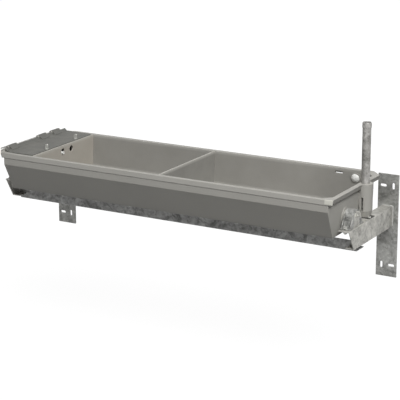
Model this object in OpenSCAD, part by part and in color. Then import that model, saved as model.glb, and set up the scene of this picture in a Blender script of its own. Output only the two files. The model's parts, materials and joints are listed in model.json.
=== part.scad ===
// Long wall trough with a heated floor, hung on two bracket arms so that it tips forward.
// The origin lies on the wall plane, at mid length and at the height of the upper fixing slots.
// +X runs to the right, -Y points away from the wall and +Z points up.

/* [Trough] */
// Length over the rim
trough_len = 1900; // [1600:10:2300]
// Width over the rim
trough_w = 606; // [560:2:660]
// Height of the rim above the upper fixing slots
rim_z = 67.5; // [55:0.5:85]
// Depth from the rim to the underside
body_depth = 203; // [195:1:225]
// Plan radius of the rim corners
corner_r = 58; // [50:1:70]
// Overhang of the rolled lip beyond the band
lip_over = 16.5; // [12:0.5:22]
// Height of the rolled lip
lip_h = 15.5; // [10:0.5:22]
// Depth of the upright band below the rim
band_h = 60; // [45:1:75]
// Width of the flat top of the rim
rim_w = 26; // [22:0.5:32]
// Inward lean of the body between band and underside
wall_taper = 32; // [20:1:40]
// Thickness of the side walls at the floor
wall = 10; // [8:0.5:14]
// Thickness of the floor
floor_t = 8; // [6:0.5:12]
// Rounding of the underside edge
edge_r = 15; // [8:1:20]
// Rounding between floor and walls inside
floor_r = 24; // [14:1:30]

/* [Basins] */
// Distance from the left end of the rim to the valve partition
chamber_len = 193; // [180:1:230]
// Thickness of partition and divider
panel_t = 8; // [6:0.5:12]
// Radius of the two partition holes
port_r = 16; // [13:0.5:19]
// Depth of the partition holes below the rim
port_drop = 32; // [28:1:40]
// Distance between the partition holes
port_gap = 79; // [65:1:95]
// Length of the overflow slot in the back wall
overflow_len = 44; // [30:1:60]
// Height of the overflow slot
overflow_h = 12; // [8:0.5:16]
// Distance from the right end of the rim to the overflow slot
overflow_in = 235; // [200:1:300]

/* [Valve cover] */
// Height of the cover's top above the rim
cover_h = 18; // [14:0.5:24]
// Wall of the cover
cover_wall = 4; // [3:0.5:6]
// Gap round the cover
cover_gap = 3; // [1:0.5:5]
// Radius of the hinge rod
rod_r = 4; // [3:0.5:5]
// Outer radius of the hinge knuckles
knuckle_r = 10; // [8:0.5:11]
// Length of each hinge knuckle
knuckle_len = 64; // [40:2:80]
// Distance between the two thumb screws
screw_span = 266; // [200:2:320]
// Height of a thumb screw's wing
wing_h = 28; // [20:1:34]

/* [Underside] */
// Height of the heater recess under the floor
recess_h = 19; // [15:0.5:24]
// Thickness of the heating mat
mat_t = 3; // [2:0.5:4]
// Thickness of the underside cover
base_t = 4; // [3:0.5:6]
// Width of the rim left round the recess
recess_edge = 10; // [8:0.5:14]
// Width of the ledge that carries the underside cover
ledge_w = 12; // [10:0.5:16]

/* [Float valve] */
// Radius of the valve body
valve_r = 13; // [11:0.5:15]
// Length of the valve body
valve_len = 100; // [85:1:115]
// Radius of the outlet nozzle
nozzle_r = 7.5; // [6:0.5:8.5]
// Height of the plunger above the float lever's pin
cam_h = 9; // [8:0.5:11]
// Length of the float
float_len = 104; // [80:2:110]
// Width of the float
float_w = 80; // [60:2:86]
// Height of the float
float_h = 42; // [34:1:46]
// Radius of the water inlet thread
inlet_r = 10.5; // [8:0.5:13]
// Reach of the water inlet below the underside
inlet_reach = 30; // [20:1:32]

/* [Lever] */
// Outside diameter of the lever pipe
lever_d = 42.4; // [38:0.1:46]
// Wall of the lever pipe
lever_wall = 3.2; // [2.5:0.1:5]
// Height of the lever pipe above the rim
lever_h = 300; // [200:5:500]
// Depth of the lever socket
socket_depth = 122; // [100:1:135]
// Radius of the socket columns
column_r = 37; // [32:0.5:38]
// Distance of the columns behind the middle of the trough
column_back = 75; // [60:1:100]

/* [Pivot] */
// Outside diameter of the axle stubs
axle_d = 60.3; // [54:0.1:66]
// Wall of the axle stubs
axle_wall = 4; // [3:0.5:6]
// Distance of the pivot in front of the middle of the trough
pivot_fwd = 105; // [95:1:115]
// Height of the pivot's axis above the arms
pivot_rise = 49; // [44:0.5:56]
// Radial play of the axle in its clamps
pivot_play = 0.05; // [0.02:0.01:0.08]
// Thickness of the pivot clamps
clamp_t = 7; // [6:0.5:9]
// Width of the pivot clamps
clamp_w = 49; // [40:1:50]
// Length of each clamp foot
clamp_foot = 44; // [36:1:48]
// Diameter of the clamp bolts
clamp_bolt_d = 12; // [10:1:14]

/* [Brackets] */
// Width of a wall plate
plate_w = 110; // [100:1:130]
// Height of a wall plate
plate_h = 530; // [500:2:600]
// Thickness of a wall plate
plate_t = 8; // [6:0.5:12]
// Gap between the trough's rim and the wall plates
wall_gap = 10; // [6:1:25]
// Length of a fixing slot
slot_len = 34; // [24:1:40]
// Width of a fixing slot
slot_w = 14; // [11:0.5:16]
// Distance between the two slot columns
slot_dx = 53; // [46:1:60]
// Distance between the upper and lower slots
slot_dz = 411; // [380:1:440]
// Distance from the rim's end to the outer face of the arm
arm_out = 47; // [44:1:60]
// Part of the wall plate that stands out beyond the arm
plate_out = 27; // [15:1:40]
// Reach of an arm from its wall plate
arm_reach = 517; // [505:1:560]
// Height of an arm
arm_h = 103; // [95:1:120]
// Setback of the arm's lower front corner
arm_cut = 59; // [30:1:65]
// Distance of the arm's top below the rim
arm_drop = 169; // [165:1:180]
// Sheet thickness of the arms
sheet_t = 5; // [4:0.5:8]
// Width of an arm's top flange
flange_w = 58; // [54:1:60]
// Width of an arm's bottom flange
foot_w = 45; // [30:1:50]

/* [Cross rail] */
// Depth of the rail from front to back
rail_w = 88; // [60:1:100]
// Height of the rail
rail_h = 54; // [40:1:60]
// Sheet thickness of the rail
rail_t = 4; // [3:0.5:6]
// Distance of the rail's front face before the middle of the trough
rail_fwd = 92; // [80:1:96]
// Distance of the rail's top below the arm's top
rail_drop = 74; // [70:1:84]

/* [Hidden] */

$fn = 48;
fit = 0.3;
skim = 0.05;
cut = 1;

// Main places, counted from the middle of the rim's top
half_len = trough_len / 2;
half_w = trough_w / 2;
trough_y = -plate_t - wall_gap - half_w;
cavity_depth = body_depth - recess_h - floor_t;
arm_x = half_len + arm_out;
flange_x = arm_x - flange_w;
partition_x = -half_len + chamber_len;

// Rounding of the moulded trough
post_h = 0.2;
post_fn = 32;
cavity_corner_r = 24;
side_corner_r = 16;
foot_corner_r = 12;

// Socket column with its cone and drain slit
pad_t = 2.7;
cone_h = 38;
cone_in = 14;
slit_len = 66;
slit_w = 12;
slit_drop = 98;
column_foot = arm_drop - pad_t - fit;

// Axle hub in the end wall
hub_wall = 12;
hub_depth = 62;
hub_end = 4;
hub_gap = 7;

// Axle and its clamp
axle_r = axle_d / 2;
axle_seat = axle_r + pivot_play;
axle_end = 1;
pivot_z = -arm_drop + pivot_rise;
clamp_x = flange_x + 1;
clamp_r = axle_seat + clamp_t;
clamp_bolt_shift = 14;
clamp_bolt_at = clamp_r + clamp_foot / 2 + clamp_bolt_shift;
clamp_hole_d = clamp_bolt_d + 1;
rib_t = 4;
rib_w = 30;
rib_h = 56;
rib_low = 16;
rib_in = 1.5;
rib_top = 6;
saddle_top = 8;
end_plate_t = 4;
eye_r = 13.5;
eye_hole_r = 6.5;
eye_t = 6;
eye_out = 14;
eye_fwd = 19;
eye_up = 20;

// Bolt heads and nuts in shares of the thread's diameter
hex_share = 1.6;
head_share = 0.62;
nut_share = 0.85;
tip_share = 1.3;

// Rest bolt and rubber pad under a column
rest_out = 31;
rest_fwd = 15;
rest_d = 8;
rest_washer_r = 8;
rest_washer_t = 1.6;
rest_hole_r = 4.5;
pad_len = 60;
pad_in = 2;

// Hinge of the valve cover
hinge_x = -half_len + 2;
hinge_z = cover_h - 1;
hinge_ys = [-205, 63, 185];
ear_t = 7;
ear_gap = 1;
ear_sink = 2;
ear_shoulder = 1;
web_len = 6;
cover_clear = 2;
cover_r = 14;

// Quarter-turn screws and the keepers they lock under
screw_r = 5;
screw_x = partition_x - panel_t - 11;
screw_boss_r = 10;
collar_r = 9;
collar_h = 5;
wing_t = 6;
wing_r = 8;
keeper_w = 26;
keeper_out = 4;
keeper_t = 4;
keeper_drop = 6;
tongue_len = 10;
tongue_t = 5;
tongue_w = 6;

// Float valve, its nozzle and the lever's pin
port_y = -14;
valve_in = 75;
nozzle_low = 6.5;
nozzle_side = 2;
nozzle_out = 6;
nozzle_wall = 2.5;
spigot_wall = 2.5;
spigot_out = 8;
valve_x = partition_x - panel_t - valve_in;
valve_y = port_y - nozzle_side;
valve_z = -port_drop - nozzle_low;
pin_r = 2.5;
pin_fwd = 26;
pin_y = valve_y - pin_fwd;
pin_z = valve_z - cam_h;
cheek_in = 7;
cheek_t = 4;
cheek_r = 7;
cheek_len = 28;

// Bore of the valve and the plunger in it, counted from the outlet's middle
bore_r = 6.1;
face_at = -16;
guide_at = -15;
stem_at = -7;
disc_at = 6;
seat_at = 10;
tail_r = 3;
stem_r = 3;
disc_r = 4.8;
channel_r = 3.5;

// Inlet under the valve
inlet_back = 76;
inlet_y = valve_y + inlet_back;
boss_over = 2;
inlet_hex = 2 * inlet_r + 6;
hex_drop = 34;
thread_in = 26;
pipe_wall = 3;
flange_over = 7;
pipe_flange_t = 5;
relief_w = 1.2;
relief_in = 1;
nut_hex = 2 * inlet_r + 11;
nut_t = 8.7;

// Float lever
lever_hub_r = 5;
lever_play = 1;
neck_half = 4;
neck_back = 3.5;
neck_front = 0.5;
nose_r = 3;
rod_len = 44;
float_rod_r = 3;
float_at = 40;
float_up = 8;
float_corner_r = 14;

// Plug in the back wall near the right end
plug_in = 141;
plug_x = half_len - plug_in;
plug_z = -40;
plug_r = 15.8;
plug_len = 26;
plug_play = 0.05;
plug_head = 6;
plug_dome_r = 33;
plug_boss_r = plug_r + 10;
plug_boss_in = 5;
plug_boss_t = 14;

// Overflow slot
overflow_drop = 22;
overflow_through = 20;

// Heater recess and what lies in it
recess_inset = lip_over + wall_taper + edge_r + recess_edge;
recess_r = 20;
mat_edge = 14;
mat_hole = 8;
foam_hole = 3;
foam_edge = 2;
sensor_dx = 90;
sensor_dy = 60;
sensor_r = 14;
sensor_h = 10;
sensor_gap = 0.5;
base_screw_n = 9;
base_screw_in = 55;
base_screw_r = 2.1;
base_screw_bite = 8;
base_head_r = 5;
base_head_t = 2.4;
base_hole_r = 2.2;

// Cable gland behind the inlet
gland_back = 100;
gland_y = inlet_y + gland_back;
gland_r = 7.9;
gland_hole_r = 8;
gland_hex = 24;
gland_hex_t = 6;
gland_low = 16;
gland_tip_r = 8.5;
gland_neck_r = 10.5;
gland_in = 9;
cable_r = 4;

// Collar of the lever pipe
ring_t = 1.6;
ring_h = 22;
ring_drop = 4;

// Cross rail's end pads and the gap left for it in the arms' lower flanges
rail_pad_t = 8;
rail_gap = 1;

// Depth-dependent insets of the outer and inner wall faces
function outer_inset(d) = lip_over + wall_taper * max(0, d - band_h) / (body_depth - band_h);
function inner_inset(d) = rim_w + (outer_inset(cavity_depth) + wall - rim_w) * d / cavity_depth;

// Puts pieces in the trough's own frame, whose origin is the middle of the rim's top
module at_rim() {
    translate([0, trough_y, rim_z]) children();
}

// Repeats a right-hand piece as its mirror image on the left
module both_ends() {
    children();
    mirror([1, 0, 0]) children();
}

// Keeps a right-hand piece or mirrors it to the left
module on_end(left) {
    mirror([left ? 1 : 0, 0, 0]) children();
}

// Turns a flat outline drawn in Y and Z into a solid that runs along X
module along_x(length) {
    rotate([90, 0, 90]) linear_extrude(length) children();
}

// Rounded rectangle with true arcs
module round_rect(length, width, r) {
    square([length - 2 * r, width], center = true);
    square([length, width - 2 * r], center = true);
    for (sx = [-1, 1], sy = [-1, 1])
        translate([sx * (length / 2 - r), sy * (width / 2 - r)]) circle(r);
}

// Plan outline of the trough, set in from the rim
module plan(inset, r) {
    round_rect(trough_len - 2 * inset, trough_w - 2 * inset, r);
}

// Straight slot with round ends
module slot_outline(length, width) {
    square([length - width, width], center = true);
    for (s = [-1, 1]) translate([s * (length - width) / 2, 0]) circle(width / 2);
}

// Four corner posts of one level of a tapered form, for hull()
module level(depth, inset, r) {
    for (sx = [-1, 1], sy = [-1, 1])
        translate([sx * (half_len - inset - r), sy * (half_w - inset - r), -depth])
            cylinder(r = r, h = post_h, $fn = post_fn);
}

module tube(r, wall_t, length) {
    difference() {
        cylinder(r = r, h = length);
        translate([0, 0, -cut]) cylinder(r = r - wall_t, h = length + 2 * cut);
    }
}

module hex(across, height) {
    cylinder(d = across / cos(30), h = height, $fn = 6);
}

// Turns a shape that stands on Z so that it points to +X
module to_right() {
    rotate([0, 90, 0]) children();
}

// Turns a shape that stands on Z so that it points to the wall
module to_wall() {
    rotate([-90, 0, 0]) children();
}

// Tapered body below the lip
module body_form() {
    hull() {
        level(cut, lip_over, corner_r - lip_over);
        level(band_h, lip_over, corner_r - lip_over);
        level(body_depth - edge_r, outer_inset(body_depth - edge_r), side_corner_r);
        level(body_depth - edge_r / 3, outer_inset(body_depth) + edge_r / 4, foot_corner_r);
        level(body_depth, outer_inset(body_depth) + edge_r, foot_corner_r);
    }
}

// Space inside the trough
module cavity_form() {
    hull() {
        level(-cut, inner_inset(-cut), corner_r - rim_w);
        level(cavity_depth - floor_r, inner_inset(cavity_depth - floor_r), cavity_corner_r);
        level(cavity_depth - floor_r / 4, inner_inset(cavity_depth) + floor_r / 4, cavity_corner_r);
        level(cavity_depth, inner_inset(cavity_depth) + floor_r, cavity_corner_r);
    }
}

// Cross-section of the space inside, for the panels that stand in it
module cavity_section(top) {
    levels = [
        [top, inner_inset(top)],
        [cavity_depth - floor_r, inner_inset(cavity_depth - floor_r)],
        [cavity_depth - floor_r / 4, inner_inset(cavity_depth) + floor_r / 4],
        [cavity_depth, inner_inset(cavity_depth) + floor_r]
    ];
    right = [for (l = levels) [half_w - l[1] - skim, skim - l[0]]];
    left = [for (i = [len(levels) - 1:-1:0]) [-right[i][0], right[i][1]]];
    polygon(concat(right, left));
}

// Column on the end wall that holds the lever and rests on the arm
module socket_column() {
    translate([half_len, column_back, -column_foot]) rotate_extrude()
        polygon([
            [0, 0], [column_r - cone_in, 0], [column_r, cone_h],
            [column_r, column_foot], [0, column_foot]
        ]);
}

// Lever socket, with a drain slit through the column's front
module socket_bore() {
    translate([half_len, column_back, 0]) {
        translate([0, 0, -socket_depth]) cylinder(r = lever_d / 2 + skim, h = socket_depth + cut);
        translate([0, -lever_d / 4, -slit_drop]) rotate([90, 0, 0])
            linear_extrude(column_r) rotate(90) slot_outline(slit_len, slit_w);
    }
}

// Thick hub in the end wall that takes the axle stub
module axle_hub(r, from_x, to_x) {
    translate([from_x, -pivot_fwd, pivot_z]) to_right() cylinder(r = r, h = to_x - from_x);
}

// Ears on the left rim that carry the rod of the cover's hinge
module hinge_ears() {
    ear_r = knuckle_r - ear_shoulder;
    for (y = hinge_ys, s = [-1, 1])
        translate([hinge_x, y + s * (knuckle_len / 2 + ear_gap + ear_t / 2) - ear_t / 2, 0]) {
            translate([0, 0, hinge_z]) to_wall() cylinder(r = ear_r, h = ear_t);
            translate([-ear_r, 0, -ear_sink]) cube([2 * ear_r, ear_t, hinge_z + ear_sink]);
        }
}

// Clearance hole for the hinge rod, right through
module rod_hole() {
    translate([hinge_x, -half_w, hinge_z]) to_wall() cylinder(r = rod_r + skim, h = trough_w);
}

// Inner face of the back wall at the plug, where its head sits
function plug_seat_y() = half_w - inner_inset(-plug_z) - plug_boss_in;

module trough_shell() {
    color([0.52, 0.51, 0.48]) at_rim() difference() {
        union() {
            difference() {
                union() {
                    translate([0, 0, -lip_h]) linear_extrude(lip_h) plan(0, corner_r);
                    body_form();
                    both_ends() socket_column();
                }
                cavity_form();
            }
            both_ends() axle_hub(axle_r + hub_wall, half_len - hub_depth, flange_x - hub_gap);
            translate([plug_x, plug_seat_y(), plug_z]) to_wall() cylinder(r = plug_boss_r, h = plug_boss_t);
            hinge_ears();
        }
        socket_bore();
        both_ends() axle_hub(axle_r + skim, half_len - hub_depth + hub_end, half_len);
        translate([0, 0, -body_depth - cut]) {
            linear_extrude(recess_h + cut) plan(recess_inset + ledge_w, recess_r);
            linear_extrude(base_t + cut) plan(recess_inset, recess_r);
        }
        translate([half_len - overflow_in, half_w + cut, -overflow_drop])
            rotate([90, 0, 0]) linear_extrude(rim_w + overflow_through)
                slot_outline(overflow_len, overflow_h);
        translate([plug_x, plug_seat_y() - cut, plug_z]) to_wall()
            cylinder(r = plug_r + plug_play, h = half_w - plug_seat_y() + 2 * cut);
        translate([valve_x, inlet_y, -body_depth])
            cylinder(r = inlet_r + skim, h = body_depth - cavity_depth + cut);
        underside_screw_places() cylinder(r = base_screw_r + skim, h = base_t + base_screw_bite + cut);
        rod_hole();
    }
}

// Panel between the valve chamber and the left basin
module valve_partition() {
    color([0.56, 0.54, 0.5]) at_rim() {
        difference() {
            translate([partition_x - panel_t, 0, 0]) along_x(panel_t) cavity_section(skim);
            for (y = [port_y, port_y + port_gap])
                translate([partition_x - panel_t - cut, y, -port_drop])
                    to_right() cylinder(r = port_r, h = panel_t + 2 * cut);
        }
        for (s = [-1, 1])
            translate([partition_x - panel_t, s * screw_span / 2, -keeper_drop - keeper_t])
                translate([-keeper_out, -keeper_w / 2, 0]) cube([keeper_out + skim, keeper_w, keeper_t]);
    }
}

module centre_divider() {
    color([0.56, 0.54, 0.5]) at_rim()
        translate([-panel_t / 2, 0, 0]) along_x(panel_t) cavity_section(skim);
}

// Moulded lid over the valve chamber, hinged on the left rim
module valve_cover() {
    cover_x = hinge_x + knuckle_r + cover_clear;
    cover_len = partition_x - cover_x;
    cover_w = trough_w - 2 * rim_w - 2 * cover_gap;
    color([0.4, 0.4, 0.38]) at_rim() difference() {
        union() {
            translate([cover_x + cover_len / 2, 0, 0]) difference() {
                translate([0, 0, skim]) linear_extrude(cover_h - skim)
                    round_rect(cover_len, cover_w, cover_r);
                translate([0, 0, -cut]) linear_extrude(cover_h - cover_wall + cut)
                    round_rect(cover_len - 2 * cover_wall, cover_w - 2 * cover_wall, cover_r - cover_wall);
            }
            for (y = hinge_ys) translate([hinge_x, y - knuckle_len / 2, hinge_z]) {
                to_wall() cylinder(r = knuckle_r, h = knuckle_len);
                translate([0, 0, -cover_wall / 2]) cube([knuckle_r + web_len, knuckle_len, knuckle_r]);
            }
            for (s = [-1, 1]) translate([screw_x, s * screw_span / 2, cut])
                cylinder(r = screw_boss_r, h = cover_h - 2 * cut);
        }
        rod_hole();
        for (s = [-1, 1]) translate([screw_x, s * screw_span / 2, 0])
            cylinder(r = screw_r + skim, h = cover_h + cut);
    }
}

module cover_hinge_rod() {
    rod_end = knuckle_len / 2 + ear_gap + ear_t + ear_shoulder;
    color([0.62, 0.62, 0.6]) at_rim()
        translate([hinge_x, hinge_ys[0] - rod_end, hinge_z])
            to_wall() cylinder(r = rod_r, h = hinge_ys[2] - hinge_ys[0] + 2 * rod_end);
}

// Winged screw whose tongue turns under the partition's keeper
module thumb_screw(y) {
    tongue_top = -keeper_drop - keeper_t - fit;
    post = wing_h - collar_h - wing_r;
    color([0.7, 0.69, 0.66]) at_rim() translate([screw_x, y, 0]) {
        translate([0, 0, tongue_top - tongue_t]) {
            cylinder(r = screw_r, h = cover_h + collar_h - tongue_top + tongue_t);
            translate([-tongue_w / 2, -tongue_len, 0]) cube([tongue_w, tongue_len, tongue_t]);
        }
        translate([0, 0, cover_h + skim]) cylinder(r = collar_r, h = collar_h);
        translate([0, wing_t / 2, cover_h + collar_h]) rotate([90, 0, 0]) linear_extrude(wing_t) union() {
            translate([-wing_r, 0]) square([2 * wing_r, post]);
            translate([0, post]) circle(wing_r);
        }
    }
}

module thumb_screw_front() { thumb_screw(-screw_span / 2); }

module thumb_screw_back() { thumb_screw(screw_span / 2); }

// Brass body with inlet boss, outlet spigot and the fork of the float lever
module valve_body() {
    color([0.72, 0.6, 0.34]) at_rim() translate([valve_x, valve_y, valve_z]) difference() {
        union() {
            translate([0, face_at, 0]) to_wall() cylinder(r = valve_r, h = valve_len);
            translate([0, inlet_back, 0]) sphere(r = valve_r + boss_over);
            translate([0, inlet_back, -hex_drop]) hex(inlet_hex, hex_drop);
            to_right() cylinder(r = nozzle_r + spigot_wall, h = valve_r + spigot_out);
            for (x = [-cheek_in - cheek_t, cheek_in]) translate([x, -pin_fwd, -cam_h]) {
                to_right() cylinder(r = cheek_r, h = cheek_t);
                translate([0, 0, -cheek_r]) cube([cheek_t, cheek_len, cam_h + cheek_r]);
            }
        }
        translate([0, face_at - cut, 0]) to_wall() cylinder(r = bore_r, h = seat_at - face_at + cut);
        to_wall() cylinder(r = channel_r, h = inlet_back);
        translate([0, inlet_back, -hex_drop + thread_in - cut]) cylinder(r = inlet_r - pipe_wall, h = cam_h);
        translate([0, inlet_back, -hex_drop - cut]) cylinder(r = inlet_r + skim, h = thread_in + cut);
        to_right() cylinder(r = nozzle_r - nozzle_wall, h = valve_r + spigot_out + cut);
        translate([valve_r, 0, 0]) to_right() cylinder(r = nozzle_r + skim, h = spigot_out + cut);
        translate([-cheek_in - cheek_t - cut, -pin_fwd, -cam_h])
            to_right() cylinder(r = pin_r + skim, h = 2 * (cheek_in + cheek_t + cut));
    }
}

// Piston that the float lever presses against the seat
module valve_plunger() {
    tail = nose_r + skim - pin_fwd;
    color([0.85, 0.84, 0.8]) at_rim() translate([valve_x, valve_y, valve_z]) to_wall() rotate_extrude()
        polygon([
            [0, tail], [tail_r, tail], [tail_r, guide_at], [bore_r - skim, guide_at],
            [bore_r - skim, stem_at], [stem_r, stem_at], [stem_r, disc_at], [disc_r, disc_at],
            [disc_r, seat_at - skim], [0, seat_at - skim]
        ]);
}

// White tube that leads the water through the partition
module outlet_nozzle() {
    color([0.92, 0.92, 0.9]) at_rim() translate([valve_x + valve_r + skim, valve_y, valve_z])
        to_right() tube(nozzle_r, nozzle_wall, partition_x - valve_x - valve_r + nozzle_out);
}

module float_pin() {
    pin_len = 2 * (cheek_in + cheek_t + cut);
    color([0.7, 0.7, 0.7]) at_rim() translate([valve_x - pin_len / 2, pin_y, pin_z])
        to_right() cylinder(r = pin_r, h = pin_len);
}

// Lever with a nose at the plunger and a rod to the float
module float_arm() {
    hub_half = cheek_in - lever_play;
    color([0.7, 0.66, 0.5]) at_rim() translate([valve_x, pin_y, pin_z]) difference() {
        union() {
            translate([-hub_half, 0, 0]) to_right() cylinder(r = lever_hub_r, h = 2 * hub_half);
            translate([-neck_half, -neck_back, 0]) cube([2 * neck_half, neck_back + neck_front, cam_h]);
            translate([-neck_half, 0, cam_h]) to_right() cylinder(r = nose_r, h = 2 * neck_half);
            rotate([90, 0, 0]) cylinder(r = float_rod_r, h = rod_len);
        }
        translate([-hub_half - cut, 0, 0]) to_right() cylinder(r = pin_r + skim, h = 2 * (hub_half + cut));
    }
}

module float() {
    color([0.12, 0.12, 0.13]) at_rim() translate([valve_x, pin_y - float_at, pin_z]) difference() {
        translate([0, -float_len / 2, float_up - float_h])
            linear_extrude(float_h) round_rect(float_w, float_len, float_corner_r);
        translate([0, cut, 0]) rotate([90, 0, 0])
            cylinder(r = float_rod_r + skim, h = rod_len - float_at + cut + skim);
    }
}

// Threaded pipe from below the underside up to the valve, with a flange on the floor
module inlet_pipe() {
    bottom = -body_depth - inlet_reach;
    top = valve_z - hex_drop + thread_in - skim;
    relief = -body_depth - nut_t - fit - relief_w;
    color([0.72, 0.6, 0.34]) at_rim() translate([valve_x, inlet_y, 0]) {
        translate([0, 0, bottom]) tube(inlet_r, pipe_wall, relief - bottom);
        translate([0, 0, bottom]) tube(inlet_r - relief_in, pipe_wall - relief_in, top - bottom);
        translate([0, 0, relief + relief_w]) tube(inlet_r, pipe_wall, top - relief - relief_w);
        translate([0, 0, skim - cavity_depth]) tube(inlet_r + flange_over, flange_over + cut, pipe_flange_t);
    }
}

module inlet_locknut() {
    color([0.7, 0.58, 0.32]) at_rim() translate([valve_x, inlet_y, -body_depth - nut_t - fit]) difference() {
        hex(nut_hex, nut_t);
        translate([0, 0, -cut]) cylinder(r = inlet_r + skim, h = nut_t + 2 * cut);
    }
}

// Flat heater bonded under the floor
module heating_mat() {
    color([0.75, 0.35, 0.15]) at_rim() difference() {
        translate([0, 0, -body_depth + recess_h - mat_t])
            linear_extrude(mat_t - skim) plan(recess_inset + ledge_w + mat_edge, recess_r);
        translate([valve_x, inlet_y, -body_depth]) cylinder(r = inlet_r + mat_hole, h = recess_h);
    }
}

module thermostat() {
    color([0.2, 0.2, 0.22]) at_rim()
        translate([valve_x + sensor_dx, inlet_y + sensor_dy, -body_depth + recess_h - mat_t - sensor_h])
            cylinder(r = sensor_r, h = sensor_h - skim);
}

// Foam slab between heater and underside cover
module insulation_board() {
    color([0.85, 0.82, 0.6]) at_rim() translate([0, 0, -body_depth]) difference() {
        translate([0, 0, base_t + skim])
            linear_extrude(recess_h - base_t - mat_t - 2 * skim)
                plan(recess_inset + ledge_w + foam_edge, recess_r);
        translate([valve_x, inlet_y, 0]) cylinder(r = inlet_r + foam_hole, h = recess_h);
        translate([valve_x, gland_y, 0]) cylinder(r = gland_r + foam_hole, h = recess_h);
        translate([valve_x + sensor_dx, inlet_y + sensor_dy, recess_h - mat_t - sensor_h - sensor_gap])
            cylinder(r = sensor_r + sensor_gap, h = sensor_h + sensor_gap);
    }
}

// Places of the screws along both long edges of the underside cover
module underside_screw_places() {
    reach_x = half_len - recess_inset - base_screw_in;
    row_y = half_w - recess_inset - ledge_w / 2;
    for (i = [0:base_screw_n - 1], s = [-1, 1])
        translate([reach_x * (2 * i / (base_screw_n - 1) - 1), s * row_y, -body_depth]) children();
}

module underside_cover() {
    color([0.36, 0.36, 0.35]) at_rim() difference() {
        translate([0, 0, -body_depth]) linear_extrude(base_t - skim) plan(recess_inset + fit, recess_r);
        translate([valve_x, inlet_y, -body_depth - cut]) cylinder(r = inlet_r + fit, h = base_t + 2 * cut);
        translate([valve_x, gland_y, -body_depth - cut]) cylinder(r = gland_hole_r, h = base_t + 2 * cut);
        underside_screw_places() translate([0, 0, -cut]) cylinder(r = base_hole_r, h = base_t + 2 * cut);
    }
}

module underside_screws() {
    color([0.65, 0.65, 0.65]) at_rim() underside_screw_places() {
        translate([0, 0, -base_head_t - skim]) cylinder(r = base_head_r, h = base_head_t);
        translate([0, 0, -base_head_t])
            cylinder(r = base_screw_r, h = base_head_t + base_t + base_screw_bite);
    }
}

// Inlet for the heater's lead
module cable_gland() {
    color([0.15, 0.15, 0.16]) at_rim() translate([valve_x, gland_y, -body_depth]) difference() {
        union() {
            translate([0, 0, -gland_hex_t]) hex(gland_hex, gland_hex_t - skim);
            translate([0, 0, -gland_low])
                cylinder(r1 = gland_tip_r, r2 = gland_neck_r, h = gland_low - gland_hex_t + cut);
            translate([0, 0, -cut]) cylinder(r = gland_r, h = gland_in + cut);
        }
        translate([0, 0, -gland_low - cut]) cylinder(r = cable_r, h = gland_low + gland_in + 2 * cut);
    }
}

// White push-in plug with a domed head, on the inside of the back wall
module side_plug() {
    dome_h = plug_dome_r - sqrt(pow(plug_dome_r, 2) - pow(plug_r + plug_head, 2));
    color([0.93, 0.93, 0.91]) at_rim() translate([plug_x, plug_seat_y() - fit, plug_z]) {
        to_wall() cylinder(r = plug_r, h = plug_len);
        rotate([90, 0, 0]) rotate_extrude() intersection() {
            translate([0, dome_h + cut - plug_dome_r]) circle(plug_dome_r);
            square([plug_r + plug_head, plug_dome_r]);
        }
    }
}

module lever_pipe() {
    color([0.6, 0.6, 0.58]) at_rim() translate([half_len, column_back, skim - socket_depth])
        tube(lever_d / 2, lever_wall, socket_depth + lever_h);
}

// Collar round the lever's top
module lever_ring() {
    color([0.5, 0.5, 0.49]) at_rim() translate([half_len, column_back, lever_h - ring_drop - ring_h])
        tube(lever_d / 2 + skim + ring_t, ring_t, ring_h);
}

// Steel axle in its clamp, with an end plate and an eye for a locking pin
module axle_stub(left) {
    from_x = half_len - hub_depth + hub_end + skim;
    end_x = clamp_x + clamp_w + axle_end;
    color([0.5, 0.5, 0.49]) at_rim() on_end(left) translate([0, -pivot_fwd, pivot_z]) {
        translate([from_x, 0, 0]) to_right() tube(axle_r, axle_wall, end_x - from_x);
        translate([end_x - end_plate_t, 0, 0]) to_right() cylinder(r = axle_r, h = end_plate_t);
        translate([end_x, -eye_fwd, eye_up]) to_wall() linear_extrude(eye_t) difference() {
            union() {
                translate([eye_out, 0]) circle(eye_r);
                translate([-skim, -eye_r]) square([eye_out, 2 * eye_r]);
            }
            translate([eye_out, 0]) circle(eye_hole_r);
        }
    }
}

module axle_stub_left() { axle_stub(true); }

module axle_stub_right() { axle_stub(false); }

// Cradle on the arm that the axle turns in
module pivot_saddle(left) {
    half_saddle = axle_seat - skim;
    color([0.62, 0.62, 0.6]) at_rim() on_end(left) translate([clamp_x, -pivot_fwd, pivot_z])
        along_x(clamp_w) difference() {
            translate([-half_saddle, skim - pivot_rise]) square([2 * half_saddle, pivot_rise - saddle_top]);
            circle(axle_seat);
        }
}

module pivot_saddle_left() { pivot_saddle(true); }

module pivot_saddle_right() { pivot_saddle(false); }

// Strap with two feet that holds the axle down in its saddle
module pivot_clamp(left) {
    color([0.4, 0.4, 0.41]) at_rim() on_end(left) translate([clamp_x, -pivot_fwd, pivot_z]) difference() {
        union() {
            along_x(clamp_w) difference() {
                union() {
                    circle(clamp_r);
                    translate([-clamp_r, -pivot_rise]) square([2 * clamp_r, pivot_rise]);
                    translate([-clamp_r - clamp_foot, -pivot_rise])
                        square([2 * (clamp_r + clamp_foot), clamp_t]);
                }
                circle(axle_seat);
                translate([-axle_seat, -pivot_rise - cut]) square([2 * axle_seat, pivot_rise + cut]);
            }
            for (s = [0, 1], x = [0, clamp_w - rib_t]) mirror([0, s, 0])
                translate([x, clamp_r - rib_in, -pivot_rise]) along_x(rib_t)
                    polygon([[0, 0], [rib_w, 0], [rib_w, rib_low], [rib_top, rib_h], [0, rib_h]]);
        }
        for (s = [-1, 1]) translate([clamp_w / 2, s * clamp_bolt_at, -pivot_rise - cut])
            cylinder(d = clamp_hole_d, h = clamp_t + 2 * cut);
    }
}

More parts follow.
